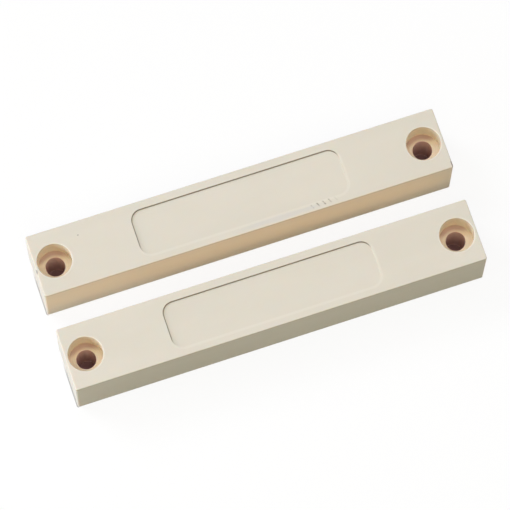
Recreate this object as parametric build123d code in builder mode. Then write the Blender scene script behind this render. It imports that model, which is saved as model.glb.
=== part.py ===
"""Surface magnetic contact: a reed switch half and a magnet half, side by side on one surface.

Both halves use the same bar moulding: a square section cap, open below, with a shallow panel in its
roof and a counterbored screw boss at each end. A base plate snaps into the open side of each cap.
The switch base carries a circuit board with the reed switch and four screw terminals, and the magnet
base carries a round magnet in a cradle, level with the reed.

Millimetres. +X runs along the bars, +Y from the magnet half to the switch half, +Z up.
The origin is on the surface, midway between the two halves.
"""

import os
from math import hypot

from build123d import *

# Bar moulding
bar_length = 88.5
bar_width = 13.5
bar_height = 13.5
bar_gap = 7.3  # clear space between the two halves
side_wall = 1.6
roof = 1.8
corner_radius = 0.4  # upright corners
edge_radius = 0.25  # round the roof

# Panel in the roof
panel_length = 45.0
panel_width = 10.0
panel_radius = 2.4
panel_depth = 0.3

# Screw bosses
hole_inset = 4.25  # from the bar's end to a screw's axis
screw_hole = 4.1  # diameter
head_bore = 7.2  # diameter
head_bore_depth = 4.6
mouth_chamfer = 0.12
boss_wall = 1.45
boss_web = 3.5  # solid left behind each screw axis, at the cavity's end

# Base plate and its snap tongues
base_thickness = 1.5
base_rim = 1.1  # wall of the cap beside the plate
base_clearance = 0.1
base_corner = 0.6
tongue_width = 4.5
tongue_thickness = 0.8
tongue_height = 4.2
tongue_inset = 8.0  # from the boss to the middle of a tongue
hook_reach = 0.35
hook_height = 1.1
groove_clearance = 0.12

# Cable entry at the back of the switch half, open behind and below
notch_width = 5.0
notch_height = 5.0  # above the surface
notch_radius = 0.6
cable_bay = 2.1  # cut into the board's back edge

# Circuit board
board_thickness = 1.2
board_end_gap = 3.0
board_side_gap = 0.2  # to the tongues
rail_height = 1.0
rail_width = 0.8
peg = 1.4  # diameter
hole_clearance = 0.1  # round pegs, pins and legs
peg_inset = 1.7  # from the board's end
peg_stand = 0.6  # above the board
hold_down_thickness = 0.9
hold_down_clearance = 0.15
track_thickness = 0.1
track_width = 1.3
track_pitch = 2.2  # from the reed's track to the return track
pad_size = 1.8  # square

# Terminals
terminal_count = 4
terminal_pitch = 3.5
terminal_end_gap = 3.0  # from the board's end to the block
block_depth = 5.4
block_height = 5.4
clamp_width = 2.7
clamp_depth = 3.8
clamp_height = 3.4
clamp_clearance = 0.05
wire_opening = 2.0  # square
wire_floor = 0.5  # brass under the wire
clamp_pin = 0.8  # square
pin_stand = 0.7  # below the board
terminal_thread = 2.0  # diameter
thread_clearance = 0.05
terminal_head = 2.4  # diameter
terminal_head_height = 1.1
head_clearance = 0.1
driver_slot_width = 0.45
driver_slot_depth = 0.5

# Reed switch
glass_length = 14.0
glass_diameter = 2.2
glass_wall = 0.3
glass_seal = 2.2  # solid glass at each end
glass_end_chamfer = 0.5
glass_lift = 0.25  # above the board
lead_width = 0.7
lead_thickness = 0.4
lead_span = 23.0  # between the two bent legs
lead_bend = 0.8  # radius
blade_width = 1.1
blade_thickness = 0.25
blade_overlap = 1.2
contact_gap = 0.1

# Solder joints
solder_height = 0.5
solder_taper = 35  # degrees

# Magnet and its cradle
magnet_diameter = 6.0
magnet_length = 30.0
magnet_chamfer = 0.3
magnet_lift = 0.5  # cradle under the magnet
magnet_clearance = 0.05
saddle_length = 3.0
saddle_wall = 1.0
saddle_count = 3
end_stop_thickness = 1.2
end_stop_clearance = 0.1

# Places that follow from the sizes above
half_pitch = (bar_width + bar_gap) / 2
screw_pitch = bar_length - 2 * hole_inset
switch_seat = Plane(origin=(0, half_pitch, 0))
magnet_seat = Plane(origin=(0, -half_pitch, 0))
cavity_width = bar_width - 2 * side_wall
cavity_length = screw_pitch - 2 * boss_web
cavity_top = bar_height - roof
boss_diameter = head_bore + 2 * boss_wall
boss_inner = screw_pitch / 2 - boss_diameter / 2
tongue_x = boss_inner - tongue_inset
tongue_face = cavity_width / 2 - base_clearance
hook_top = base_thickness + tongue_height
board_bottom = base_thickness + rail_height
board_top = board_bottom + board_thickness
board_length = 2 * (boss_inner - board_end_gap)
board_width = 2 * (tongue_face - tongue_thickness - board_side_gap)
block_length = terminal_count * terminal_pitch
block_x = board_length / 2 - terminal_end_gap - block_length / 2
block_y = (block_depth - board_width) / 2
reed_x = (block_x - block_length / 2 - board_length / 2) / 2
reed_z = board_top + glass_lift + glass_diameter / 2
bay_y = board_width / 2 - cable_bay
magnet_axis_z = base_thickness + magnet_lift + magnet_diameter / 2
magnet_top = magnet_axis_z + magnet_diameter / 2
leg_foot = board_bottom - track_thickness - pin_stand


def terminal_places():
    """Middle of each terminal along X."""
    first = block_x - block_length / 2 + terminal_pitch / 2
    return [first + terminal_pitch * number for number in range(terminal_count)]


def lead_places():
    """Where the two legs of the reed stand along X."""
    return [reed_x - lead_span / 2, reed_x + lead_span / 2]


def side_plane(seat, x):
    """Plane across the bar at x: its own X is the bar's Y, and its own Y is up."""
    return Plane(origin=seat.origin + Vector(x, 0, 0), x_dir=(0, 1, 0), z_dir=(1, 0, 0))


def cap(seat, rib_places, rib_foot, rib_thickness, notched):
    """The bar moulding, open below, with cross ribs that come down from the roof to rib_foot."""
    with BuildPart() as moulding:
        with BuildSketch(seat):
            RectangleRounded(bar_length, bar_width, corner_radius)
        extrude(amount=bar_height)
        fillet(moulding.faces().sort_by(Axis.Z)[-1].edges(), radius=edge_radius)
        # shallow panel in the roof
        with BuildSketch(seat.offset(bar_height)):
            RectangleRounded(panel_length, panel_width, panel_radius)
        extrude(amount=-panel_depth, mode=Mode.SUBTRACT)
        # cavity, which bends round the two bosses
        with BuildSketch(seat.offset(base_thickness)):
            Rectangle(cavity_length, cavity_width)
            with Locations((-screw_pitch / 2, 0), (screw_pitch / 2, 0)):
                Circle(boss_diameter / 2, mode=Mode.SUBTRACT)
        extrude(amount=cavity_top - base_thickness, mode=Mode.SUBTRACT)
        # rebate for the base plate
        with BuildSketch(seat):
            RectangleRounded(bar_length - 2 * base_rim, bar_width - 2 * base_rim, base_corner)
        extrude(amount=base_thickness, mode=Mode.SUBTRACT)
        # grooves that the hooks of the base plate snap into
        groove_height = hook_height + 2 * groove_clearance
        groove_depth = hook_reach + groove_clearance
        groove_z = hook_top - hook_height / 2
        with BuildSketch(seat.offset(groove_z - groove_height / 2)):
            with GridLocations(2 * tongue_x, cavity_width + groove_depth, 2, 2):
                Rectangle(tongue_width + 2 * groove_clearance, groove_depth)
        extrude(amount=groove_height, mode=Mode.SUBTRACT)
        # cross ribs that hold down what the base carries
        with BuildSketch(seat.offset(rib_foot)):
            for place in rib_places:
                with Locations((place, 0)):
                    Rectangle(rib_thickness, cavity_width)
        extrude(amount=cavity_top - rib_foot)
        # counterbored screw holes
        with Locations(seat.offset(bar_height)):
            with Locations((-screw_pitch / 2, 0), (screw_pitch / 2, 0)):
                CounterBoreHole(screw_hole / 2, head_bore / 2, head_bore_depth)
        mouths = moulding.edges().filter_by(GeomType.CIRCLE)
        mouths = mouths.filter_by(lambda edge: abs(edge.radius - head_bore / 2) < 1e-6)
        chamfer(mouths.group_by(Axis.Z)[-1], length=mouth_chamfer)
        if notched:
            entry = Plane(
                origin=seat.origin + Vector(block_x, 0, 0),
                x_dir=(-1, 0, 0),
                z_dir=(0, 1, 0),
            )
            with BuildSketch(entry):
                with Locations((0, notch_height / 2)):
                    opening = Rectangle(notch_width, notch_height)
                fillet(opening.vertices().group_by(Axis.Z)[-1], radius=notch_radius)
            extrude(amount=bar_width, mode=Mode.SUBTRACT)
    return moulding.part


def base_plate(seat):
    """The plate that closes a cap, with its screw holes and four snap tongues."""
    plate_length = bar_length - 2 * (base_rim + base_clearance)
    plate_width = bar_width - 2 * (base_rim + base_clearance)
    with BuildPart() as plate:
        with BuildSketch(seat):
            RectangleRounded(plate_length, plate_width, base_corner)
            with Locations((-screw_pitch / 2, 0), (screw_pitch / 2, 0)):
                Circle(screw_hole / 2, mode=Mode.SUBTRACT)
        extrude(amount=base_thickness)
        for x in (-tongue_x, tongue_x):
            with BuildSketch(side_plane(seat, x - tongue_width / 2)):
                with BuildLine():
                    Polyline(
                        (tongue_face - tongue_thickness, base_thickness),
                        (tongue_face, base_thickness),
                        (tongue_face, hook_top - hook_height),
                        (tongue_face + base_clearance + hook_reach, hook_top - hook_height),
                        (tongue_face, hook_top),
                        (tongue_face - tongue_thickness, hook_top),
                        close=True,
                    )
                make_face()
                mirror(about=Plane.YZ)
            extrude(amount=tongue_width)
    return plate.part


def cable_bay_outline():
    """Draw the cable's cut in the current sketch: from the board's bay out past the back of the bar."""
    with Locations((block_x, bay_y)):
        Rectangle(notch_width, bar_width, align=(Align.CENTER, Align.MIN))


def switch_base_plate():
    """Base plate with two rails under the board, a peg through each end of it and the cable's cut."""
    with BuildPart() as plate:
        add(base_plate(switch_seat))
        with BuildSketch(switch_seat.offset(base_thickness)):
            with GridLocations(0, board_width - rail_width, 1, 2):
                Rectangle(board_length, rail_width)
            with GridLocations(board_length - 2 * peg_inset, 0, 2, 1):
                Circle(peg / 2 + rail_width)
        extrude(amount=rail_height)
        with BuildSketch(switch_seat.offset(board_bottom)):
            with GridLocations(board_length - 2 * peg_inset, 0, 2, 1):
                Circle(peg / 2)
        extrude(amount=board_thickness + peg_stand)
        with BuildSketch(switch_seat):
            cable_bay_outline()
        extrude(amount=board_bottom, mode=Mode.SUBTRACT)
    return plate.part


def board():
    """Circuit board, drilled for pegs, terminal pins and reed legs, with a bay for the cable."""
    with BuildPart() as blank:
        with BuildSketch(switch_seat.offset(board_bottom)):
            Rectangle(board_length, board_width)
            with GridLocations(board_length - 2 * peg_inset, 0, 2, 1):
                Circle(peg / 2 + hole_clearance, mode=Mode.SUBTRACT)
            for x in terminal_places():
                with Locations((x, block_y)):
                    Circle(hypot(clamp_pin, clamp_pin) / 2 + hole_clearance, mode=Mode.SUBTRACT)
            for x in lead_places():
                with Locations((x, block_y)):
                    Circle(hypot(lead_width, lead_thickness) / 2 + hole_clearance, mode=Mode.SUBTRACT)
        extrude(amount=board_thickness)
        with BuildSketch(switch_seat.offset(board_bottom)):
            cable_bay_outline()
        extrude(amount=board_thickness, mode=Mode.SUBTRACT)
    return blank.part


def pin_outlines(y):
    """Cut the clamps' pins and the reed's legs, in a row at y, out of the current sketch."""
    for x in terminal_places():
        with Locations((x, y)):
            Rectangle(clamp_pin, clamp_pin, mode=Mode.SUBTRACT)
    for x in lead_places():
        with Locations((x, y)):
            Rectangle(lead_thickness, lead_width, mode=Mode.SUBTRACT)


def tracks():
    """Copper under the board: reed to the first two terminals, and the tamper loop between the last two."""
    pins = terminal_places()
    legs = lead_places()
    back_y = block_y + track_pitch
    with BuildPart() as copper:
        with BuildSketch(switch_seat.offset(board_bottom - track_thickness)):
            with BuildLine():
                Line((legs[1], block_y), (pins[0], block_y))
            trace(line_width=track_width)
            with BuildLine():
                Polyline((legs[0], block_y), (legs[0], back_y), (pins[1], back_y), (pins[1], block_y))
            trace(line_width=track_width)
            with BuildLine():
                Line((pins[2], block_y), (pins[3], block_y))
            trace(line_width=track_width)
            for x in pins + legs:
                with Locations((x, block_y)):
                    Rectangle(pad_size, pad_size)
            pin_outlines(block_y)
        extrude(amount=track_thickness)
    return copper.part


def solder():
    """A small pyramid of solder round each leg and pin, from its pad down."""
    under = Plane(
        origin=switch_seat.origin + Vector(0, block_y, board_bottom - track_thickness),
        x_dir=(1, 0, 0),
        z_dir=(0, 0, -1),
    )
    with BuildPart() as joints:
        with BuildSketch(under):
            for x in terminal_places() + lead_places():
                with Locations((x, 0)):
                    Rectangle(pad_size, pad_size)
        extrude(amount=solder_height, taper=solder_taper)
        with BuildSketch(under):
            for x in terminal_places() + lead_places():
                with Locations((x, 0)):
                    Rectangle(pad_size, pad_size)
            pin_outlines(0)
        extrude(amount=solder_height, mode=Mode.INTERSECT)
    return joints.part


def reed_capsule():
    """Hollow glass tube, sealed round a lead at each end."""
    axis_plane = side_plane(switch_seat, reed_x - glass_length / 2)
    with BuildPart() as glass:
        with BuildSketch(axis_plane):
            with Locations((block_y, reed_z)):
                Circle(glass_diameter / 2)
        extrude(amount=glass_length)
        chamfer(glass.edges().filter_by(GeomType.CIRCLE), length=glass_end_chamfer)
        with BuildSketch(axis_plane.offset(glass_seal)):
            with Locations((block_y, reed_z)):
                Circle(glass_diameter / 2 - glass_wall)
        extrude(amount=glass_length - 2 * glass_seal, mode=Mode.SUBTRACT)
        with BuildSketch(axis_plane):
            with Locations((block_y, reed_z)):
                Rectangle(lead_width, lead_thickness)
        extrude(amount=glass_length, mode=Mode.SUBTRACT)
    return glass.part


def reed_blade(side):
    """One flattened lead, bent down into the board, and its thin blade inside the glass. side is -1 or 1."""
    leg_x = reed_x + side * lead_span / 2
    root_x = reed_x + side * (glass_length / 2 - glass_seal)
    tip_x = reed_x - side * blade_overlap / 2
    blade_z = reed_z + side * (contact_gap + blade_thickness) / 2
    lead_plane = Plane(origin=switch_seat.origin + Vector(0, block_y, 0), x_dir=(1, 0, 0), z_dir=(0, -1, 0))
    with BuildPart() as blade:
        with BuildLine(lead_plane):
            FilletPolyline((leg_x, leg_foot), (leg_x, reed_z), (root_x, reed_z), radius=lead_bend)
        with BuildSketch(switch_seat.offset(leg_foot)):
            with Locations((leg_x, block_y)):
                Rectangle(lead_thickness, lead_width)
        sweep()
        with BuildSketch(side_plane(switch_seat, min(root_x, tip_x))):
            with Locations((block_y, blade_z)):
                Rectangle(blade_width, blade_thickness)
        extrude(amount=abs(root_x - tip_x))
    return blade.part


def terminal_block():
    """Moulded block with a pocket for each brass clamp, a screw well above it and a wire window behind it."""
    with BuildPart() as block:
        with BuildSketch(switch_seat.offset(board_top)):
            with Locations((block_x, block_y)):
                Rectangle(block_length, block_depth)
        extrude(amount=block_height)
        with BuildSketch(switch_seat.offset(board_top)):
            for x in terminal_places():
                with Locations((x, block_y)):
                    Rectangle(clamp_width + 2 * clamp_clearance, clamp_depth + 2 * clamp_clearance)
        extrude(amount=clamp_height + clamp_clearance, mode=Mode.SUBTRACT)
        with BuildSketch(switch_seat.offset(board_top + block_height)):
            for x in terminal_places():
                with Locations((x, block_y)):
                    Circle(terminal_head / 2 + head_clearance)
        extrude(amount=-block_height / 2, mode=Mode.SUBTRACT)
        window = Plane(
            origin=switch_seat.origin + Vector(0, block_y + block_depth / 2, 0),
            x_dir=(-1, 0, 0),
            z_dir=(0, 1, 0),
        )
        with BuildSketch(window):
            for x in terminal_places():
                with Locations((-x, board_top + wire_floor + wire_opening / 2)):
                    Rectangle(wire_opening, wire_opening)
        extrude(amount=-block_depth / 2, mode=Mode.SUBTRACT)
    return block.part


def terminal_clamp(x):
    """Brass clamp at x: an opening for the wire, a tapped hole above it and a solder pin below."""
    clamp_top = board_top + clamp_height
    wire_z = board_top + wire_floor + wire_opening / 2
    with BuildPart() as clamp:
        with BuildSketch(switch_seat.offset(board_top)):
            with Locations((x, block_y)):
                Rectangle(clamp_width, clamp_depth)
        extrude(amount=clamp_height)
        with BuildSketch(switch_seat.offset(board_top)):
            with Locations((x, block_y)):
                Rectangle(clamp_pin, clamp_pin)
        extrude(amount=leg_foot - board_top)
        back = Plane(
            origin=switch_seat.origin + Vector(x, block_y + clamp_depth / 2, wire_z),
            x_dir=(-1, 0, 0),
            z_dir=(0, 1, 0),
        )
        with BuildSketch(back):
            Rectangle(wire_opening, wire_opening)
        extrude(amount=-clamp_depth, mode=Mode.SUBTRACT)
        with BuildSketch(switch_seat.offset(clamp_top)):
            with Locations((x, block_y)):
                Circle(terminal_thread / 2 + thread_clearance)
        extrude(amount=wire_z - clamp_top, mode=Mode.SUBTRACT)
    return clamp.part


def terminal_screws():
    """The slotted clamp screws, each seated on its clamp with its tip just above the wire."""
    clamp_top = board_top + clamp_height
    tip_z = board_top + wire_floor + wire_opening
    with BuildPart() as screws:
        with BuildSketch(switch_seat.offset(clamp_top)):
            for x in terminal_places():
                with Locations((x, block_y)):
                    Circle(terminal_head / 2)
        extrude(amount=terminal_head_height)
        with BuildSketch(switch_seat.offset(clamp_top)):
            for x in terminal_places():
                with Locations((x, block_y)):
                    Circle(terminal_thread / 2)
        extrude(amount=tip_z - clamp_top)
        with BuildSketch(switch_seat.offset(clamp_top + terminal_head_height)):
            for x in terminal_places():
                with Locations((x, block_y)):
                    Rectangle(driver_slot_width, terminal_head)
        extrude(amount=-driver_slot_depth, mode=Mode.SUBTRACT)
    return screws.part


def magnet_base_plate():
    """Base plate with a row of saddles under the magnet and a stop past each end of it."""
    saddle_pitch = (magnet_length - saddle_length) / (saddle_count - 1)
    stop_x = magnet_length / 2 + end_stop_clearance + end_stop_thickness / 2
    cradle_width = magnet_diameter + 2 * saddle_wall
    with BuildPart() as plate:
        add(base_plate(magnet_seat))
        with BuildSketch(magnet_seat.offset(base_thickness)):
            with Locations((reed_x, 0)):
                with GridLocations(saddle_pitch, 0, saddle_count, 1):
                    Rectangle(saddle_length, cradle_width)
        extrude(amount=magnet_axis_z - base_thickness)
        with BuildSketch(side_plane(magnet_seat, reed_x - magnet_length / 2)):
            with Locations((0, magnet_axis_z)):
                Circle(magnet_diameter / 2 + magnet_clearance)
        extrude(amount=magnet_length, mode=Mode.SUBTRACT)
        with BuildSketch(magnet_seat.offset(base_thickness)):
            with Locations((reed_x - stop_x, 0), (reed_x + stop_x, 0)):
                Rectangle(end_stop_thickness, magnet_diameter)
        extrude(amount=magnet_axis_z - base_thickness)
    return plate.part


def magnet():
    """Round bar magnet, level with the reed."""
    with BuildPart() as rod:
        with BuildSketch(side_plane(magnet_seat, reed_x - magnet_length / 2)):
            with Locations((0, magnet_axis_z)):
                Circle(magnet_diameter / 2)
        extrude(amount=magnet_length)
        chamfer(rod.edges().filter_by(GeomType.CIRCLE), length=magnet_chamfer)
    return rod.part


rib_x = board_length / 2 - hold_down_thickness / 2
switch_ribs = (-rib_x, rib_x)
saddle_x = (magnet_length - saddle_length) / 2
magnet_ribs = (reed_x - saddle_x, reed_x, reed_x + saddle_x)

pieces = {
    "switch_housing": cap(
        switch_seat, switch_ribs, board_top + hold_down_clearance, hold_down_thickness, notched=True
    ),
    "switch_base": switch_base_plate(),
    "circuit_board": board(),
    "board_tracks": tracks(),
    "solder_joints": solder(),
    "reed_glass": reed_capsule(),
    "reed_blade_left": reed_blade(-1),
    "reed_blade_right": reed_blade(1),
    "terminal_block": terminal_block(),
    "terminal_screws": terminal_screws(),
    "magnet_housing": cap(
        magnet_seat, magnet_ribs, magnet_top + hold_down_clearance, hold_down_thickness, notched=False
    ),
    "magnet_base": magnet_base_plate(),
    "bar_magnet": magnet(),
}
for number, place in enumerate(terminal_places(), start=1):
    pieces[f"terminal_clamp_{number}"] = terminal_clamp(place)

os.makedirs("parts", exist_ok=True)
for name, piece in pieces.items():
    piece.label = name
    export_step(piece, f"parts/{name}.step")
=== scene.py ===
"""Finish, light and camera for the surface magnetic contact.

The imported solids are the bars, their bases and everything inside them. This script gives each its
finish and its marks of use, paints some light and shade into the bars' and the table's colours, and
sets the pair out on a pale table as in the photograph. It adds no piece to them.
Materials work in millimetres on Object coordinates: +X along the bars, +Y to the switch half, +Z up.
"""

import math

import bpy
from mathutils import Matrix, Vector


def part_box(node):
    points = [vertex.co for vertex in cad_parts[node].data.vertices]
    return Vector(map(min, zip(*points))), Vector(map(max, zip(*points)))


MM = 0.001

# Camera, from the photograph: a long lens, high over the front of the pair
CAMERA_AZIMUTH = math.radians(-19.76)
CAMERA_ELEVATION = math.radians(73.29)
CAMERA_ROLL = math.radians(1.3)
CAMERA_DISTANCE = 766.6 * MM
CAMERA_SLIDE = (-0.11 * MM, 2.39 * MM)  # right and up
CAMERA_LENS = 259.6
CAMERA_SENSOR = 36.0

# Colours of the cream bars, linear
CREAM = (0.745, 0.703, 0.612)
CREAM_PALE = (0.765, 0.722, 0.632)
# painted warm bounce light inside the screw recesses
RECESS_PAINTED_BOUNCE = (0.960, 0.820, 0.610)
EDGE_WORN = (0.86, 0.82, 0.74)
# painted highlight round the recess rims
RIM_PAINTED_HIGHLIGHT = (0.90, 0.86, 0.78)
# painted highlight along the panel recess's right and front edges
PANEL_PAINTED_HIGHLIGHT = (0.88, 0.85, 0.77)
# painted shade on the recess seat, rippled in rings
SEAT_RINGS_AND_SHADE = (0.52, 0.41, 0.29)
# painted shadow of the recess's back wall on the seat
SEAT_PAINTED_SHADOW = (0.46, 0.25, 0.21)
# painted shade at the top of the recess walls
LIP_PAINTED_SHADE = (0.55, 0.42, 0.27)
# painted shade in the screw bores
BORE_PAINTED_SHADE = (0.780, 0.540, 0.500)
ROOF_LINE = (0.40, 0.32, 0.22)
# painted shadow along the panel recess's back and left edges
PANEL_PAINTED_SHADOW = (0.260, 0.215, 0.160)
SCUFF = (0.24, 0.20, 0.14)

# How strongly each of those tones shows
STRENGTH = {
    "worn edges": 0.35,
    "recess": 0.82,
    "lip": 0.32,
    "bore": 0.92,
    "rim highlight": 0.35,
    "roof line": 0.35,
    "panel shadow": 0.85,
    "highlight band": 0.25,
    "scuffs": 0.72,
    "shade line": 0.70,
}

# Colours of the board, the reed's glass and the terminal block, linear
BOARD_GREENS = ((0.018, 0.115, 0.035), (0.035, 0.175, 0.060))
BOARD_CLOUD = (0.05, 0.20, 0.09)
GLASS_GREENS = ((0.72, 0.88, 0.76), (0.82, 0.93, 0.84))
BLOCK_BLACKS = ((0.018, 0.018, 0.020), (0.030, 0.030, 0.033))
BLOCK_WORN = (0.10, 0.10, 0.11)

# Colours of the table, linear
WHITE = (1.0, 1.0, 1.0)
TABLE = (0.39, 0.37, 0.29)
TABLE_DULL = tuple(0.97 * share for share in TABLE)
# painted shade on the table under the screw holes
TABLE_PAINTED_HOLE_SHADE = (0.42, 0.25, 0.24)
TABLE_AT_BARS = (0.30, 0.30, 0.31)
TABLE_GLOW = 0.87  # share of plain white where the table is seen
TABLE_HALF = 1.2  # half its side, in metres
TABLE_DROP = 0.02 * MM  # how far the table lies under the bars
TABLE_NEAR = 0.2 * MM  # shorter rays pass through the table

# Roughness, from the smoothest to the dullest place
CREAM_ROUGH = (0.56, 0.66)
BOARD_ROUGH = (0.25, 0.40)
BLOCK_ROUGH = (0.28, 0.42)
GLASS_ROUGH = (0.02, 0.08)
TARNISH_DULLS = 0.18  # how much rougher a metal is where it is tarnished
SCUFFS_SMOOTH = 0.12  # how much smoother the cream is where it is scuffed

# Cream plastic: shine, and a little light through the surface
CREAM_SPECULAR = 0.2
CREAM_SUBSURFACE = 0.35
CREAM_SUBSURFACE_REACH = (1.0, 0.6, 0.4)

# Screw holes and panel, as built, in millimetres
HOLE_INSET = 4.25
BORE_RADIUS = 2.05
RECESS_RADIUS = 3.6
RECESS_DEPTH = 4.6
PANEL_HALF = (22.5, 5.0, 0.0)
PANEL_RADIUS = 2.4
PANEL_DEPTH = 0.3

# Marks round the screws and the panel, in millimetres but for the shades
RIM_OUT = 0.12  # middle of the painted highlight round the rim, outside the recess
RINGS_WAVE = 14.0  # radians of the rings' wave in a millimetre
RINGS_SHADE = (0.05, 0.15)  # swing and mean
FOOT_SHADE = (0.32, 0.72)  # by the bore and by the wall
PANEL_SHADOW_AT = -0.05  # middle of the painted shadow line, inside the panel's edge
BAND_AT = 0.15  # middle of the painted highlight band, outside it
BAR_CORNER = 0.4  # corners of a bar's outline, on the table

# Where a tone comes up, in millimetres: none at the first value, all of it at the second
FADE = {
    # how far out from a screw's axis
    "recess": (RECESS_RADIUS + 0.09, RECESS_RADIUS + 0.03),
    "seat": (RECESS_RADIUS - 0.02, RECESS_RADIUS - 0.10),
    "foot": (2.1, 2.9),
    "bore": (BORE_RADIUS + 0.06, BORE_RADIUS + 0.01),
    "table hole": (3.0, 2.6),
    # how far behind the axis
    "seat's back": (0.9, 2.5),
    # how high, with the roof at zero
    "above seat": (-RECESS_DEPTH - 0.4, -RECESS_DEPTH - 0.2),
    "lip": (-0.7, -0.15),
    "rim's top": (-0.3, -0.1),
    "roof line": (-0.75, -0.35),
    "roof": (-PANEL_DEPTH - 0.15, -PANEL_DEPTH - 0.05),
    # how far off the mark's own middle
    "rim highlight": (0.22, 0.05),
    "panel shadow": (0.13, 0.06),
    "highlight band": (0.45, 0.15),
    "scuffs across": (0.58, 0.30),
    "scuffs along": (3.8, 0.9),
    # how far right of or behind the panel's middle
    "panel's left": (1.0 - PANEL_HALF[0], 0.3 - PANEL_HALF[0]),
    "panel's back": (PANEL_HALF[1] - 2.2, PANEL_HALF[1] - 0.7),
    "panel's front": (0.4 - PANEL_HALF[1], 3.0 - PANEL_HALF[1]),
    # how far outside a bar's outline
    "shade line": (0.34, 0.20),
    "covered": (-0.2, -0.5),
}
FACE_LEAN = (0.6, 0.2)  # upright share of a face's normal, where the roof's edge turns into a wall

# Spots on the switch half: place from the middle of its roof, half sizes, raggedness of the rim and its
# fineness, strength and tone
SPECK = ((-33.8, 3.7, 0.0), (0.24, 0.2, 1.0), 0.5, 3.0, 0.50, (0.22, 0.19, 0.15))
NICK = ((-44.2, -1.2, -0.1), (0.32, 0.65, 0.6), 0.6, 3.0, 0.60, (0.20, 0.20, 0.20))
# painted shade along the right end's top edge, where it turns from the light
EDGE_PAINTED_SHADE = ((44.2, -6.1, -0.1), (0.30, 1.30, 0.6), 0.5, 3.0, 0.80, (0.20, 0.17, 0.15))
SMEAR = ((7.0, -5.8, 0.0), (12.0, 0.7, 1.0), 0.5, 4.0, 0.25, (0.62, 0.63, 0.67))

# Row of slanted scuffs on the switch half: place from the middle of its roof, turn, pitch and slant
SCUFFS_AT = (15.1, -5.65, 0.0)
SCUFFS_TURN = math.radians(1.5)
SCUFFS_PITCH = 1.3
SCUFFS_SLANT = 0.45
SCUFFS_PEAK = 1.1  # where along the row they are strongest
SCUFFS_STRIPE = (0.17, 0.07)  # edge of a scuff, as shares of the pitch off its middle

# Metals: bright tone, tarnished tone, roughness, fineness of the drawn lines and of the patches
METALS = {
    "clamp brass": ((0.72, 0.52, 0.24), (0.55, 0.38, 0.17), 0.30, 9.0, 0.9),
    "tinned reed metal": ((0.66, 0.64, 0.60), (0.50, 0.48, 0.44), 0.25, 14.0, 0.9),
    "tinned copper": ((0.70, 0.42, 0.28), (0.48, 0.24, 0.14), 0.35, 9.0, 0.9),
    "solder": ((0.72, 0.72, 0.72), (0.50, 0.50, 0.50), 0.25, 9.0, 0.9),
    "plated screw steel": ((0.68, 0.68, 0.66), (0.52, 0.51, 0.48), 0.28, 9.0, 0.9),
    "magnet alloy": ((0.27, 0.265, 0.26), (0.235, 0.23, 0.225), 0.42, 6.0, 2.5),
}
METAL_PIECES = {
    "board_tracks": "tinned copper",
    "solder_joints": "solder",
    "reed_blade_left": "tinned reed metal",
    "reed_blade_right": "tinned reed metal",
    "terminal_clamp_1": "clamp brass",
    "terminal_clamp_2": "clamp brass",
    "terminal_clamp_3": "clamp brass",
    "terminal_clamp_4": "clamp brass",
    "terminal_screws": "plated screw steel",
    "bar_magnet": "magnet alloy",
}

# Soft square lamps: side in degrees (0 front, 90 right, 180 back), height in degrees, metres away,
# metres wide, watts and colour
LAMPS = {
    "key": (-138.0, 44.0, 2.0, 0.83, 15.8, (0.98, 1.0, 1.13)),
    "overhead": (110.0, 79.0, 1.3, 0.9, 3.9, (0.98, 1.0, 1.13)),
    "front fill": (-18.0, 62.0, 1.3, 0.6, 3.75, (1.0, 0.93, 0.67)),
    "left fill": (-84.0, 11.0, 0.40, 0.20, 0.86, (0.95, 1.0, 1.14)),
    "right fill": (75.0, 25.0, 0.40, 0.20, 0.16, (0.98, 1.0, 1.05)),
}
ROOM_LIGHT = 0.22
ROOM_TINT = (1.0, 0.94, 0.72)

# Strip lamp between the bars: its length, width and height off the table are shares of the magnet half's
# length and height, and it stands left of the middle and a gap off that half's back wall
GLOW_WATTS = 0.00102
GLOW_COLOUR = (1.0, 0.46, 0.02)
GLOW_LENGTH = 1.15
GLOW_WIDTH = 0.45
GLOW_HEIGHT = 0.68
GLOW_LEFT = 6.0 * MM
GLOW_GAP = 0.5 * MM


# Shader tools


def put(tree, kind, inputs=None, **settings):
    """Add a node. inputs maps a socket's name or number to a value or to a socket to link from."""
    made = tree.nodes.new(kind)
    for name, value in settings.items():
        setattr(made, name, value)
    for key, value in (inputs or {}).items():
        if isinstance(value, bpy.types.NodeSocket):
            tree.links.new(value, made.inputs[key])
        else:
            made.inputs[key].default_value = value
    return made


def maths(tree, operation, *values):
    """One Math node's output."""
    return put(tree, "ShaderNodeMath", dict(enumerate(values)), operation=operation).outputs[0]


def times(tree, first, *others):
    """Product of the values."""
    for other in others:
        first = maths(tree, "MULTIPLY", first, other)
    return first


def apart(tree, value, centre):
    """How far value is from centre, either way."""
    return maths(tree, "ABSOLUTE", maths(tree, "SUBTRACT", value, centre))


def axes(tree, vector):
    """X, Y and Z of a vector."""
    return put(tree, "ShaderNodeSeparateXYZ", {0: vector}).outputs


def stretched(tree, vector, scale):
    """vector with each axis times its scale."""
    return put(tree, "ShaderNodeMapping", {"Vector": vector, "Scale": scale}).outputs[0]


def noise(tree, vector, scale, detail=2.0, **others):
    """Soft noise between zero and one."""
    inputs = {"Vector": vector, "Scale": scale, "Detail": detail, **others}
    return put(tree, "ShaderNodeTexNoise", inputs).outputs["Fac"]


def blend_colour(tree, factor, first, second):
    """Colour between first and second, by factor."""
    first = (*first, 1) if isinstance(first, tuple) else first
    second = (*second, 1) if isinstance(second, tuple) else second
    return put(tree, "ShaderNodeMix", {0: factor, 6: first, 7: second}, data_type="RGBA").outputs[2]


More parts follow.
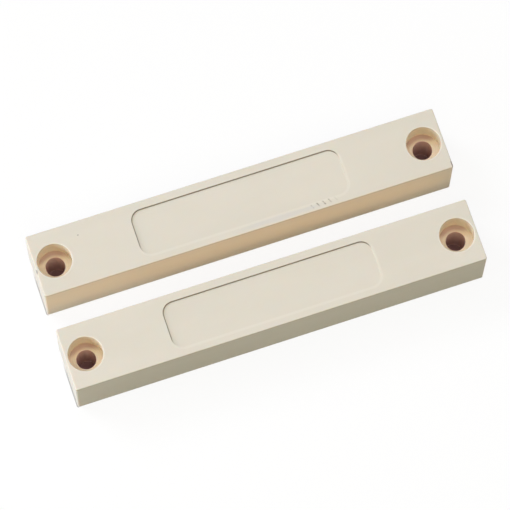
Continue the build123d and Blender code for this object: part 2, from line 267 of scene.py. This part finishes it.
def ramp(tree, value, low, high, out_low=0.0, out_high=1.0, shape="SMOOTHSTEP"):
    """value from low..high to out_low..out_high, held at the ends."""
    inputs = {0: value, 1: low, 2: high, 3: out_low, 4: out_high}
    return put(tree, "ShaderNodeMapRange", inputs, interpolation_type=shape).outputs[0]


def millimetres(tree):
    """Object coordinates in millimetres."""
    place = put(tree, "ShaderNodeTexCoord").outputs["Object"]
    return put(tree, "ShaderNodeVectorMath", {0: place, 3: 1000.0}, operation="SCALE").outputs[0]


def moved(tree, vector, place, turn=0.0, size=(1.0, 1.0, 1.0)):
    """vector seen from place, turned by turn about Z and divided by size."""
    shifted = put(tree, "ShaderNodeVectorMath", {0: vector, 1: place}, operation="SUBTRACT").outputs[0]
    turned = put(tree, "ShaderNodeMapping", {"Vector": shifted, "Rotation": (0, 0, -turn)}).outputs[0]
    inputs = {0: turned, 1: tuple(1.0 / s for s in size)}
    return put(tree, "ShaderNodeVectorMath", inputs, operation="MULTIPLY").outputs[0]


def seen_rays(tree):
    """One for rays that show a thing in the picture, straight, mirrored or through glass."""
    paths = put(tree, "ShaderNodeLightPath").outputs
    seen = maths(tree, "MAXIMUM", paths["Is Camera Ray"], paths["Is Glossy Ray"])
    return maths(tree, "MAXIMUM", seen, paths["Is Transmission Ray"])


def new_group(name, inputs, outputs):
    """A node group with the named float, vector or colour sockets; gives tree, inputs and outputs."""
    kinds = {"float": "NodeSocketFloat", "vector": "NodeSocketVector", "colour": "NodeSocketColor"}
    tree = bpy.data.node_groups.new(name, "ShaderNodeTree")
    for label, (kind, value) in inputs.items():
        socket = tree.interface.new_socket(label, in_out="INPUT", socket_type=kinds[kind])
        if value is not None:
            socket.default_value = value
    for label, kind in outputs.items():
        tree.interface.new_socket(label, in_out="OUTPUT", socket_type=kinds[kind])
    return tree, tree.nodes.new("NodeGroupInput").outputs, tree.nodes.new("NodeGroupOutput").inputs


def use(tree, group, **inputs):
    """Place a group and set its inputs; underscores in the names stand for spaces."""
    made = put(tree, "ShaderNodeGroup", node_tree=group)
    for name, value in inputs.items():
        key = name.replace("_", " ")
        if isinstance(value, bpy.types.NodeSocket):
            tree.links.new(value, made.inputs[key])
        else:
            made.inputs[key].default_value = value
    return made.outputs


# Shared effects


def moulded_grain_group():
    """Fine spark texture of a moulded face, with slow flow marks in tone."""
    tree, given, result = new_group(
        "moulded grain",
        {"Place": ("vector", None), "Grain": ("float", 7.0), "Flow": ("float", 0.12)},
        {"Height": "float", "Tone": "float", "Rough": "float"},
    )
    fine = noise(tree, given["Place"], given["Grain"], 3.0, Roughness=0.6)
    pits = put(tree, "ShaderNodeTexVoronoi", {"Vector": given["Place"], "Scale": given["Grain"]})
    height = maths(tree, "MULTIPLY_ADD", pits.outputs["Distance"], 0.35, fine)
    long_way = stretched(tree, given["Place"], (0.35, 1.0, 1.0))
    flow = noise(tree, long_way, given["Flow"], 4.0, Distortion=0.6)
    tree.links.new(height, result["Height"])
    tree.links.new(ramp(tree, flow, 0.3, 0.7), result["Tone"])
    tree.links.new(ramp(tree, fine, 0.25, 0.75), result["Rough"])
    return tree


def box_edge_group():
    """Mask along a box's edges: how near a place is to two of its faces at once, broken up by noise."""
    tree, given, result = new_group(
        "box edge wear",
        {
            "Place": ("vector", None),
            "Half Size": ("vector", (1.0, 1.0, 1.0)),
            "Width": ("float", 0.3),
            "Patches": ("float", 0.25),
        },
        {"Mask": "float"},
    )
    size = put(tree, "ShaderNodeVectorMath", {0: given["Place"]}, operation="ABSOLUTE").outputs[0]
    inset = put(tree, "ShaderNodeVectorMath", {0: given["Half Size"], 1: size}, operation="SUBTRACT")
    x, y, z = axes(tree, inset.outputs[0])
    lowest = maths(tree, "MINIMUM", maths(tree, "MINIMUM", x, y), z)
    highest = maths(tree, "MAXIMUM", maths(tree, "MAXIMUM", x, y), z)
    total = maths(tree, "ADD", maths(tree, "ADD", x, y), z)
    second = maths(tree, "SUBTRACT", maths(tree, "SUBTRACT", total, lowest), highest)
    near = ramp(tree, maths(tree, "DIVIDE", second, given["Width"]), 1.0, 0.0)
    patches = ramp(tree, noise(tree, given["Place"], given["Patches"], 5.0), 0.35, 0.65, 0.35, 1.0)
    tree.links.new(times(tree, near, patches), result["Mask"])
    return tree


def rounded_box_group():
    """Signed distance to a rounded rectangle in the XY plane, negative inside."""
    tree, given, result = new_group(
        "rounded rectangle",
        {"Place": ("vector", None), "Half Size": ("vector", (1.0, 1.0, 0.0)), "Radius": ("float", 0.5)},
        {"Distance": "float"},
    )
    folded = put(tree, "ShaderNodeVectorMath", {0: given["Place"]}, operation="ABSOLUTE").outputs[0]
    past = put(tree, "ShaderNodeVectorMath", {0: folded, 1: given["Half Size"]}, operation="SUBTRACT")
    x, y, _ = axes(tree, past.outputs[0])
    x = maths(tree, "ADD", x, given["Radius"])
    y = maths(tree, "ADD", y, given["Radius"])
    inputs = {0: maths(tree, "MAXIMUM", x, 0.0), 1: maths(tree, "MAXIMUM", y, 0.0)}
    corner = put(tree, "ShaderNodeCombineXYZ", inputs)
    outside = put(tree, "ShaderNodeVectorMath", {0: corner.outputs[0]}, operation="LENGTH")
    inside = maths(tree, "MINIMUM", maths(tree, "MAXIMUM", x, y), 0.0)
    total = maths(tree, "ADD", outside.outputs["Value"], inside)
    tree.links.new(maths(tree, "SUBTRACT", total, given["Radius"]), result["Distance"])
    return tree


def spot_group():
    """Soft round mask of radius one about the place's origin, with a ragged rim."""
    tree, given, result = new_group(
        "soft spot",
        {"Place": ("vector", None), "Ragged": ("float", 0.2), "Detail": ("float", 3.0)},
        {"Mask": "float"},
    )
    bumps = maths(tree, "SUBTRACT", noise(tree, given["Place"], given["Detail"]), 0.5)
    distance = put(tree, "ShaderNodeVectorMath", {0: given["Place"]}, operation="LENGTH")
    ragged = maths(tree, "ADD", distance.outputs["Value"], times(tree, bumps, given["Ragged"]))
    tree.links.new(ramp(tree, ragged, 1.0, 0.45), result["Mask"])
    return tree


def metal_lines_group():
    """Fine drawn lines along X, with a little tarnish in patches."""
    tree, given, result = new_group(
        "drawn metal",
        {"Place": ("vector", None), "Lines": ("float", 9.0), "Tarnish": ("float", 0.8)},
        {"Height": "float", "Patches": "float"},
    )
    lines = noise(tree, stretched(tree, given["Place"], (0.08, 1.0, 1.0)), given["Lines"])
    spots = noise(tree, given["Place"], given["Tarnish"], 4.0)
    tree.links.new(lines, result["Height"])
    tree.links.new(ramp(tree, spots, 0.4, 0.65), result["Patches"])
    return tree


def recess_group():
    """Screw recesses of a bar: painted warm bounce, painted shade on the seat, at the walls' top and in
    the bore, the back wall's painted shadow, rings on the seat and a painted highlight round the rim.
    """
    tree, given, result = new_group(
        "screw recess",
        {
            "Place": ("vector", None),
            "Colour": ("colour", None),
            "Hole X": ("float", 40.0),
            "Half Height": ("float", 6.75),
        },
        {"Colour": "colour"},
    )
    x, y, z = axes(tree, given["Place"])
    across = maths(tree, "SUBTRACT", maths(tree, "ABSOLUTE", x), given["Hole X"])
    radius = maths(tree, "SQRT", maths(tree, "ADD", times(tree, across, across), times(tree, y, y)))
    height = maths(tree, "SUBTRACT", z, given["Half Height"])
    recess = ramp(tree, radius, *FADE["recess"])
    recess = times(tree, recess, ramp(tree, height, *FADE["above seat"]))
    bore = ramp(tree, radius, *FADE["bore"])
    rim = ramp(tree, apart(tree, radius, RECESS_RADIUS + RIM_OUT), *FADE["rim highlight"])
    rim = times(tree, rim, ramp(tree, height, *FADE["rim's top"]))
    # painted warm bounce light on the recess's walls and seat
    colour = blend_colour(tree, times(tree, recess, STRENGTH["recess"]), given["Colour"], RECESS_PAINTED_BOUNCE)
    # painted shade on the seat, in rings from the turned mould pin, and the back wall's painted shadow,
    # darkest at its foot
    foot = ramp(tree, radius, *FADE["foot"], *FOOT_SHADE)
    foot = times(tree, foot, ramp(tree, y, *FADE["seat's back"]))
    rings = maths(tree, "SINE", times(tree, radius, RINGS_WAVE))
    shade = maths(tree, "MULTIPLY_ADD", rings, *RINGS_SHADE)
    seat = times(tree, recess, ramp(tree, radius, *FADE["seat"]))
    colour = blend_colour(tree, times(tree, seat, shade), colour, SEAT_RINGS_AND_SHADE)
    # painted shadow of the back wall on the seat
    colour = blend_colour(tree, times(tree, seat, foot), colour, SEAT_PAINTED_SHADOW)
    # painted shade at the top of the recess wall
    lip = times(tree, recess, ramp(tree, height, *FADE["lip"]))
    colour = blend_colour(tree, times(tree, lip, STRENGTH["lip"]), colour, LIP_PAINTED_SHADE)
    # painted shade in the bore
    colour = blend_colour(tree, times(tree, bore, STRENGTH["bore"]), colour, BORE_PAINTED_SHADE)
    # painted highlight round the recess's rim
    colour = blend_colour(tree, times(tree, rim, STRENGTH["rim highlight"]), colour, RIM_PAINTED_HIGHLIGHT)
    tree.links.new(colour, result["Colour"])
    return tree


def roof_line_group():
    """Thin darker line on a bar's walls, just under the roof's rounded edge."""
    tree, given, result = new_group(
        "roof line",
        {
            "Place": ("vector", None),
            "Normal": ("vector", None),
            "Colour": ("colour", None),
            "Half Height": ("float", 6.75),
        },
        {"Colour": "colour"},
    )
    lean = maths(tree, "ABSOLUTE", axes(tree, given["Normal"])[2])
    height = maths(tree, "SUBTRACT", axes(tree, given["Place"])[2], given["Half Height"])
    line = times(tree, ramp(tree, height, *FADE["roof line"]), ramp(tree, lean, *FACE_LEAN))
    shade = times(tree, line, STRENGTH["roof line"])
    colour = blend_colour(tree, shade, given["Colour"], ROOF_LINE)
    tree.links.new(colour, result["Colour"])
    return tree


def panel_group(rectangle):
    """Painted shadow along the panel's back and left edges, and a paler band of painted highlight outside
    its other edges.
    """
    tree, given, result = new_group(
        "panel edge",
        {"Place": ("vector", None), "Colour": ("colour", None), "Half Height": ("float", 6.75)},
        {"Colour": "colour"},
    )
    outline = use(tree, rectangle, Place=given["Place"], Half_Size=PANEL_HALF, Radius=PANEL_RADIUS)
    rim = outline["Distance"]
    x, y, z = axes(tree, given["Place"])
    height = maths(tree, "SUBTRACT", z, given["Half Height"])
    roof = ramp(tree, height, *FADE["roof"])
    back = ramp(tree, y, *FADE["panel's back"])
    left = ramp(tree, x, *FADE["panel's left"])
    faded = ramp(tree, y, *FADE["panel's front"])
    shadowed_sides = maths(tree, "MAXIMUM", back, times(tree, left, faded))
    # painted shadow along the panel's back and left edges
    line = times(tree, ramp(tree, apart(tree, rim, PANEL_SHADOW_AT), *FADE["panel shadow"]), shadowed_sides, roof)
    colour = blend_colour(tree, times(tree, line, STRENGTH["panel shadow"]), given["Colour"], PANEL_PAINTED_SHADOW)
    # painted highlight outside the panel's other edges
    band = ramp(tree, apart(tree, rim, BAND_AT), *FADE["highlight band"])
    band = times(tree, band, maths(tree, "SUBTRACT", 1.0, shadowed_sides), roof)
    colour = blend_colour(tree, times(tree, band, STRENGTH["highlight band"]), colour, PANEL_PAINTED_HIGHLIGHT)
    tree.links.new(colour, result["Colour"])
    return tree


# Materials


def blank(name):
    """A material with one Principled BSDF; gives the material, its tree and the shader."""
    material = bpy.data.materials.new(name)
    material.use_nodes = True
    tree = material.node_tree
    return material, tree, tree.nodes["Principled BSDF"]


def bumped(tree, shader, height, distance, strength):
    """Bump the shader's normal by a height that stands up to distance, in millimetres."""
    inputs = {"Height": height, "Distance": distance * MM, "Strength": strength}
    tree.links.new(put(tree, "ShaderNodeBump", inputs).outputs[0], shader.inputs["Normal"])


def moulded_cream(name, groups, middle, half_size, panel=False, marks=None):
    """Cream moulded plastic of one bar: fine matt grain, flow tone, paler worn edges, painted light and
    shade in the screw recesses and bores.
    """
    material, tree, shader = blank(name)
    place = millimetres(tree)
    grain = use(tree, groups["grain"], Place=place, Grain=6.5, Flow=0.10)
    colour = blend_colour(tree, grain["Tone"], CREAM, CREAM_PALE)
    centred = moved(tree, place, middle)
    edge = use(tree, groups["edge"], Place=centred, Half_Size=half_size, Width=0.35, Patches=0.3)["Mask"]
    colour = blend_colour(tree, times(tree, edge, STRENGTH["worn edges"]), colour, EDGE_WORN)
    on_bar = {"Place": centred, "Half_Height": half_size[2]}
    hole_x = max(x for x, _ in hole_places())
    colour = use(tree, groups["recess"], Colour=colour, Hole_X=hole_x, **on_bar)["Colour"]
    if panel:
        colour = use(tree, groups["panel"], Colour=colour, **on_bar)["Colour"]
        normal = put(tree, "ShaderNodeNewGeometry").outputs["Normal"]
        colour = use(tree, groups["roof line"], Colour=colour, Normal=normal, **on_bar)["Colour"]
    rough = ramp(tree, grain["Rough"], 0.0, 1.0, *CREAM_ROUGH)
    if marks:
        colour, rough = marks(tree, groups, place, colour, rough)
    tree.links.new(colour, shader.inputs["Base Color"])
    tree.links.new(rough, shader.inputs["Roughness"])
    shader.inputs["Specular IOR Level"].default_value = CREAM_SPECULAR
    shader.inputs["Subsurface Weight"].default_value = CREAM_SUBSURFACE
    shader.inputs["Subsurface Radius"].default_value = CREAM_SUBSURFACE_REACH
    shader.inputs["Subsurface Scale"].default_value = 1.0 * MM
    bumped(tree, shader, grain["Height"], 0.012, 0.5)
    return material


def spot_mark(tree, groups, place, colour, mark):
    """One spot of a darker or greyer tone, from its row of values, with place seen from the roof."""
    middle, half_size, ragged, detail, strength, tone = mark
    seen = moved(tree, place, middle, size=half_size)
    mask = use(tree, groups["spot"], Place=seen, Ragged=ragged, Detail=detail)["Mask"]
    return blend_colour(tree, times(tree, mask, strength), colour, tone)


def scuffed_row(tree, place, from_roof):
    """Mask of a short row of slanted scuffs in a narrow band, strongest at the band's middle."""
    band = moved(tree, from_roof, SCUFFS_AT, turn=SCUFFS_TURN)
    x, y, _ = axes(tree, band)
    slanted = maths(tree, "MULTIPLY_ADD", y, SCUFFS_SLANT, x)
    stripe = maths(tree, "FRACT", maths(tree, "MULTIPLY_ADD", slanted, 1 / SCUFFS_PITCH, 0.5))
    stripe = ramp(tree, apart(tree, stripe, 0.5), *SCUFFS_STRIPE)
    across = ramp(tree, maths(tree, "ABSOLUTE", y), *FADE["scuffs across"])
    along = ramp(tree, apart(tree, x, SCUFFS_PEAK), *FADE["scuffs along"])
    broken = ramp(tree, noise(tree, place, 1.7), 0.35, 0.60, 0.35, 1.0)
    return times(tree, stripe, across, along, broken)


def switch_marks(tree, groups, place, colour, rough):
    """Marks of use on the switch half: a speck, a nick, a row of scuffs and a smear by them, and a painted
    shade along the right end's top edge.
    """
    middle = switch_middle()
    from_roof = moved(tree, place, (0.0, middle.y, middle.z * 2))
    for mark in (SPECK, NICK, EDGE_PAINTED_SHADE):
        colour = spot_mark(tree, groups, from_roof, colour, mark)
    scuffs = scuffed_row(tree, place, from_roof)
    colour = blend_colour(tree, times(tree, scuffs, STRENGTH["scuffs"]), colour, SCUFF)
    colour = spot_mark(tree, groups, from_roof, colour, SMEAR)
    rough = maths(tree, "MULTIPLY_ADD", scuffs, -SCUFFS_SMOOTH, rough)
    return colour, rough


def board_laminate(groups):
    """Green lacquered glass-fibre board, with its weave just showing and a cloudy tone over it."""
    material, tree, shader = blank("green board laminate")
    place = millimetres(tree)
    wave = {"Vector": place, "Scale": 1.1, "Distortion": 0.4}
    warp = put(tree, "ShaderNodeTexWave", wave, bands_direction="X").outputs["Fac"]
    weft = put(tree, "ShaderNodeTexWave", wave, bands_direction="Y").outputs["Fac"]
    weave = times(tree, warp, weft)
    grain = use(tree, groups["grain"], Place=place, Grain=3.0, Flow=0.3)
    colour = blend_colour(tree, weave, *BOARD_GREENS)
    colour = blend_colour(tree, times(tree, grain["Tone"], 0.25), colour, BOARD_CLOUD)
    tree.links.new(colour, shader.inputs["Base Color"])
    tree.links.new(ramp(tree, grain["Rough"], 0.0, 1.0, *BOARD_ROUGH), shader.inputs["Roughness"])
    bumped(tree, shader, weave, 0.02, 0.6)
    return material


def metal(name, groups):
    """Plain metal with drawn lines and a duller tone in patches."""
    bright, tarnished, rough, lines, patches = METALS[name]
    material, tree, shader = blank(name)
    drawn = use(tree, groups["metal"], Place=millimetres(tree), Lines=lines, Tarnish=patches)
    colour = blend_colour(tree, drawn["Patches"], bright, tarnished)
    tree.links.new(colour, shader.inputs["Base Color"])
    shader.inputs["Metallic"].default_value = 1.0
    dull = ramp(tree, drawn["Patches"], 0.0, 1.0, rough, rough + TARNISH_DULLS)
    tree.links.new(dull, shader.inputs["Roughness"])
    bumped(tree, shader, drawn["Height"], 0.01, 0.5)
    return material


def reed_glass():
    """Pale green glass tube with a faint drawn streak."""
    material, tree, shader = blank("reed glass")
    streak = noise(tree, stretched(tree, millimetres(tree), (0.1, 1.0, 1.0)), 2.0)
    colour = blend_colour(tree, ramp(tree, streak, 0.35, 0.65), *GLASS_GREENS)
    tree.links.new(colour, shader.inputs["Base Color"])
    tree.links.new(ramp(tree, streak, 0.0, 1.0, *GLASS_ROUGH), shader.inputs["Roughness"])
    shader.inputs["Transmission Weight"].default_value = 0.9
    shader.inputs["IOR"].default_value = 1.5
    bumped(tree, shader, streak, 0.01, 0.4)
    return material


def block_plastic(groups):
    """Black moulded terminal block, slightly glossy, with paler worn edges."""
    material, tree, shader = blank("black terminal block")
    place = millimetres(tree)
    low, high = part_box("terminal_block")
    middle = tuple((low + high) / 2 / MM)
    half_size = tuple((high - low) / 2 / MM)
    grain = use(tree, groups["grain"], Place=place, Grain=5.0, Flow=0.4)
    centred = moved(tree, place, middle)
    edge = use(tree, groups["edge"], Place=centred, Half_Size=half_size, Width=0.15)["Mask"]
    colour = blend_colour(tree, grain["Tone"], *BLOCK_BLACKS)
    colour = blend_colour(tree, times(tree, edge, 0.5), colour, BLOCK_WORN)
    tree.links.new(colour, shader.inputs["Base Color"])
    tree.links.new(ramp(tree, grain["Rough"], 0.0, 1.0, *BLOCK_ROUGH), shader.inputs["Roughness"])
    bumped(tree, shader, grain["Height"], 0.01, 0.5)
    return material


def under_bars(tree, groups, place):
    """Masks of the thin shade line where the bars' left ends meet the table, and of what they cover."""
    line = covered = 0.0
    for name, middle in (("switch_housing", switch_middle()), ("magnet_housing", magnet_middle())):
        low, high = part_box(name)
        half = tuple((high - low) / 2 / MM)
        centred = moved(tree, place, (middle.x, middle.y, 0.0))
        gap = use(tree, groups["rectangle"], Place=centred, Half_Size=half, Radius=BAR_CORNER)["Distance"]
        x, y, _ = axes(tree, centred)
        left_end = ramp(tree, x, 0.4 - half[0], -0.1 - half[0])
        front_part = ramp(tree, y, 0.8 * half[1], 0.0)
        shade = times(tree, ramp(tree, gap, *FADE["shade line"]), left_end, front_part)
        line = maths(tree, "MAXIMUM", line, shade)
        covered = maths(tree, "MAXIMUM", covered, ramp(tree, gap, *FADE["covered"]))
    return line, covered


def under_holes(tree, place):
    """Mask of the painted shade on the table under the four screw holes."""
    under = 0.0
    for x, y in hole_places():
        inputs = {0: place, 1: (x, y, 0.0)}
        gap = put(tree, "ShaderNodeVectorMath", inputs, operation="DISTANCE").outputs["Value"]
        under = maths(tree, "MAXIMUM", under, ramp(tree, gap, *FADE["table hole"]))
    return under


def table_top(groups):
    """Pale table: white to the camera with the pair's shadow kept, and painted shade under the screw
    holes.
    """
    material, tree, shader = blank("pale table")
    place = millimetres(tree)
    seen = seen_rays(tree)
    line, covered = under_bars(tree, groups, place)
    plain = blend_colour(tree, noise(tree, place, 0.02, 3.0), TABLE, TABLE_DULL)
    colour = blend_colour(tree, seen, plain, WHITE)
    # painted shade on the table under the screw holes
    colour = blend_colour(tree, under_holes(tree, place), colour, TABLE_PAINTED_HOLE_SHADE)
    colour = blend_colour(tree, times(tree, line, STRENGTH["shade line"]), colour, TABLE_AT_BARS)
    tree.links.new(colour, shader.inputs["Base Color"])
    shader.inputs["Roughness"].default_value = 0.9
    shader.inputs["Specular IOR Level"].default_value = 0.0
    white = put(tree, "ShaderNodeEmission", {"Color": (*WHITE, 1), "Strength": 1.0}).outputs[0]
    open_table = maths(tree, "SUBTRACT", 1.0, maths(tree, "MAXIMUM", covered, line))
    share = times(tree, seen, open_table, TABLE_GLOW)
    mixed = put(tree, "ShaderNodeMixShader", {0: share, 1: shader.outputs[0], 2: white}).outputs[0]
    # clear from below and to the short rays off the bars' undersides, so that these can be looked at
    length = put(tree, "ShaderNodeLightPath").outputs["Ray Length"]
    close = maths(tree, "LESS_THAN", length, TABLE_NEAR)
    behind = put(tree, "ShaderNodeNewGeometry").outputs["Backfacing"]
    clear = put(tree, "ShaderNodeBsdfTransparent").outputs[0]
    inputs = {0: maths(tree, "MAXIMUM", close, behind), 1: mixed, 2: clear}
    shown = put(tree, "ShaderNodeMixShader", inputs).outputs[0]
    tree.links.new(shown, tree.nodes["Material Output"].inputs["Surface"])
    return material


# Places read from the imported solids


def switch_middle():
    """Middle of the switch housing, in millimetres."""
    low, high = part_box("switch_housing")
    return (low + high) / 2 / MM


def magnet_middle():
    """Middle of the magnet housing, in millimetres."""
    low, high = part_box("magnet_housing")
    return (low + high) / 2 / MM


def hole_places():
    """X and Y of the four screw axes, in millimetres."""
    low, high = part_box("switch_housing")
    reach = (high.x - low.x) / 2 / MM - HOLE_INSET
    rows = (switch_middle().y, magnet_middle().y)
    return [(side * reach, row) for row in rows for side in (-1, 1)]


def dress(nodes, groups):
    """Give every node its finish."""
    low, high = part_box("switch_housing")
    half_bar = tuple((high - low) / 2 / MM)
    low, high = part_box("switch_base")
    plate = (high - low) / 2 / MM
    half_plate = (plate.x, plate.y, half_bar[2])  # as high as the bar, since heights count from its roof
    switch, magnet = tuple(switch_middle()), tuple(magnet_middle())
    finishes = {
        "switch_housing": moulded_cream("switch half cream", groups, switch, half_bar, True, switch_marks),
        "magnet_housing": moulded_cream("magnet half cream", groups, magnet, half_bar, True),
        "switch_base": moulded_cream("switch base cream", groups, switch, half_plate),
        "magnet_base": moulded_cream("magnet base cream", groups, magnet, half_plate),
        "circuit_board": board_laminate(groups),
        "reed_glass": reed_glass(),
        "terminal_block": block_plastic(groups),
    }
    metals = {name: metal(name, groups) for name in METALS}
    for piece, name in METAL_PIECES.items():
        finishes[piece] = metals[name]
    for name, node in nodes.items():
        for socket in node.material_slots:
            socket.material = finishes[name]


# Stage, light and camera


def lay_table(groups):
    """A wide flat table a hair under z = 0: a square of one face."""
    sides = ((-1, -1), (1, -1), (1, 1), (-1, 1))
    corners = [(x * TABLE_HALF, y * TABLE_HALF, -TABLE_DROP) for x, y in sides]
    mesh = bpy.data.meshes.new("table")
    mesh.from_pydata(corners, [], [(0, 1, 2, 3)])
    table = bpy.data.objects.new("table", mesh)
    bpy.context.scene.collection.objects.link(table)
    mesh.materials.append(table_top(groups))


def soft_lamp(name, side, height, distance, size, watts, colour):
    """Square soft lamp that faces the pair, from its row of values."""
    data = bpy.data.lights.new(name, "AREA")
    data.shape = "SQUARE"
    data.size = size
    data.energy = watts
    data.color = colour
    lamp = bpy.data.objects.new(name, data)
    bpy.context.scene.collection.objects.link(lamp)
    a, e = math.radians(side), math.radians(height)
    away = Vector((math.sin(a) * math.cos(e), -math.cos(a) * math.cos(e), math.sin(e)))
    lamp.location = away * distance
    lamp.rotation_mode = "QUATERNION"
    lamp.rotation_quaternion = away.to_track_quat("Z", "Y")


def glow_between():
    """Warm light that the magnet half's back wall throws on the switch half's front, as a strip lamp."""
    low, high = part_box("magnet_housing")
    data = bpy.data.lights.new("glow between", "AREA")
    data.shape = "RECTANGLE"
    data.size = GLOW_LENGTH * (high.x - low.x)
    data.size_y = GLOW_WIDTH * (high.z - low.z)
    data.energy = GLOW_WATTS
    data.color = GLOW_COLOUR
    lamp = bpy.data.objects.new("glow between", data)
    bpy.context.scene.collection.objects.link(lamp)
    lamp.location = ((low.x + high.x) / 2 - GLOW_LEFT, high.y + GLOW_GAP, GLOW_HEIGHT * high.z)
    lamp.rotation_euler = (math.radians(90), 0, 0)
    lamp.visible_camera = False


def light_pair():
    """Soft lamps round the pair, the warm strip between the bars, and a pale warm room seen as white."""
    for name, values in LAMPS.items():
        soft_lamp(name, *values)
    glow_between()
    world = bpy.data.worlds.new("pale room")
    world.use_nodes = True
    tree = world.node_tree
    seen = seen_rays(tree)
    strength = ramp(tree, seen, 0.0, 1.0, ROOM_LIGHT, 1.0, "LINEAR")
    tree.links.new(strength, tree.nodes["Background"].inputs["Strength"])
    tint = blend_colour(tree, seen, ROOM_TINT, WHITE)
    tree.links.new(tint, tree.nodes["Background"].inputs["Color"])
    bpy.context.scene.world = world


def set_camera():
    """Camera on a sphere about the pair's middle on the table, rolled, then slid sideways and up."""
    data = bpy.data.cameras.new("camera")
    data.lens = CAMERA_LENS
    data.sensor_width = CAMERA_SENSOR
    data.clip_start = 0.01
    data.clip_end = 10.0
    camera = bpy.data.objects.new("camera", data)
    bpy.context.scene.collection.objects.link(camera)
    turn = (
        Matrix.Rotation(CAMERA_AZIMUTH, 4, "Z")
        @ Matrix.Rotation(math.pi / 2 - CAMERA_ELEVATION, 4, "X")
        @ Matrix.Rotation(CAMERA_ROLL, 4, "Z")
    )
    right, up = CAMERA_SLIDE
    camera.matrix_world = turn @ Matrix.Translation((right, up, CAMERA_DISTANCE))
    bpy.context.scene.camera = camera


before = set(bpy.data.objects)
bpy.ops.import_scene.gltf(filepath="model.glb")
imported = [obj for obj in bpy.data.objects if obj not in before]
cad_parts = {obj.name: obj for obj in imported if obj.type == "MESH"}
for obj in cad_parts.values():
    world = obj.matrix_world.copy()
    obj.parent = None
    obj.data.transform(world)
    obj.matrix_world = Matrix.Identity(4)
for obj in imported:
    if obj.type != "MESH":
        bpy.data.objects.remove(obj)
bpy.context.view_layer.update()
set_camera()
rectangle = rounded_box_group()
shared = {
    "grain": moulded_grain_group(),
    "edge": box_edge_group(),
    "spot": spot_group(),
    "rectangle": rectangle,
    "metal": metal_lines_group(),
    "recess": recess_group(),
    "panel": panel_group(rectangle),
    "roof line": roof_line_group(),
}
dress(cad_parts, shared)
lay_table(shared)
light_pair()
bpy.context.scene.view_settings.view_transform = "Standard"
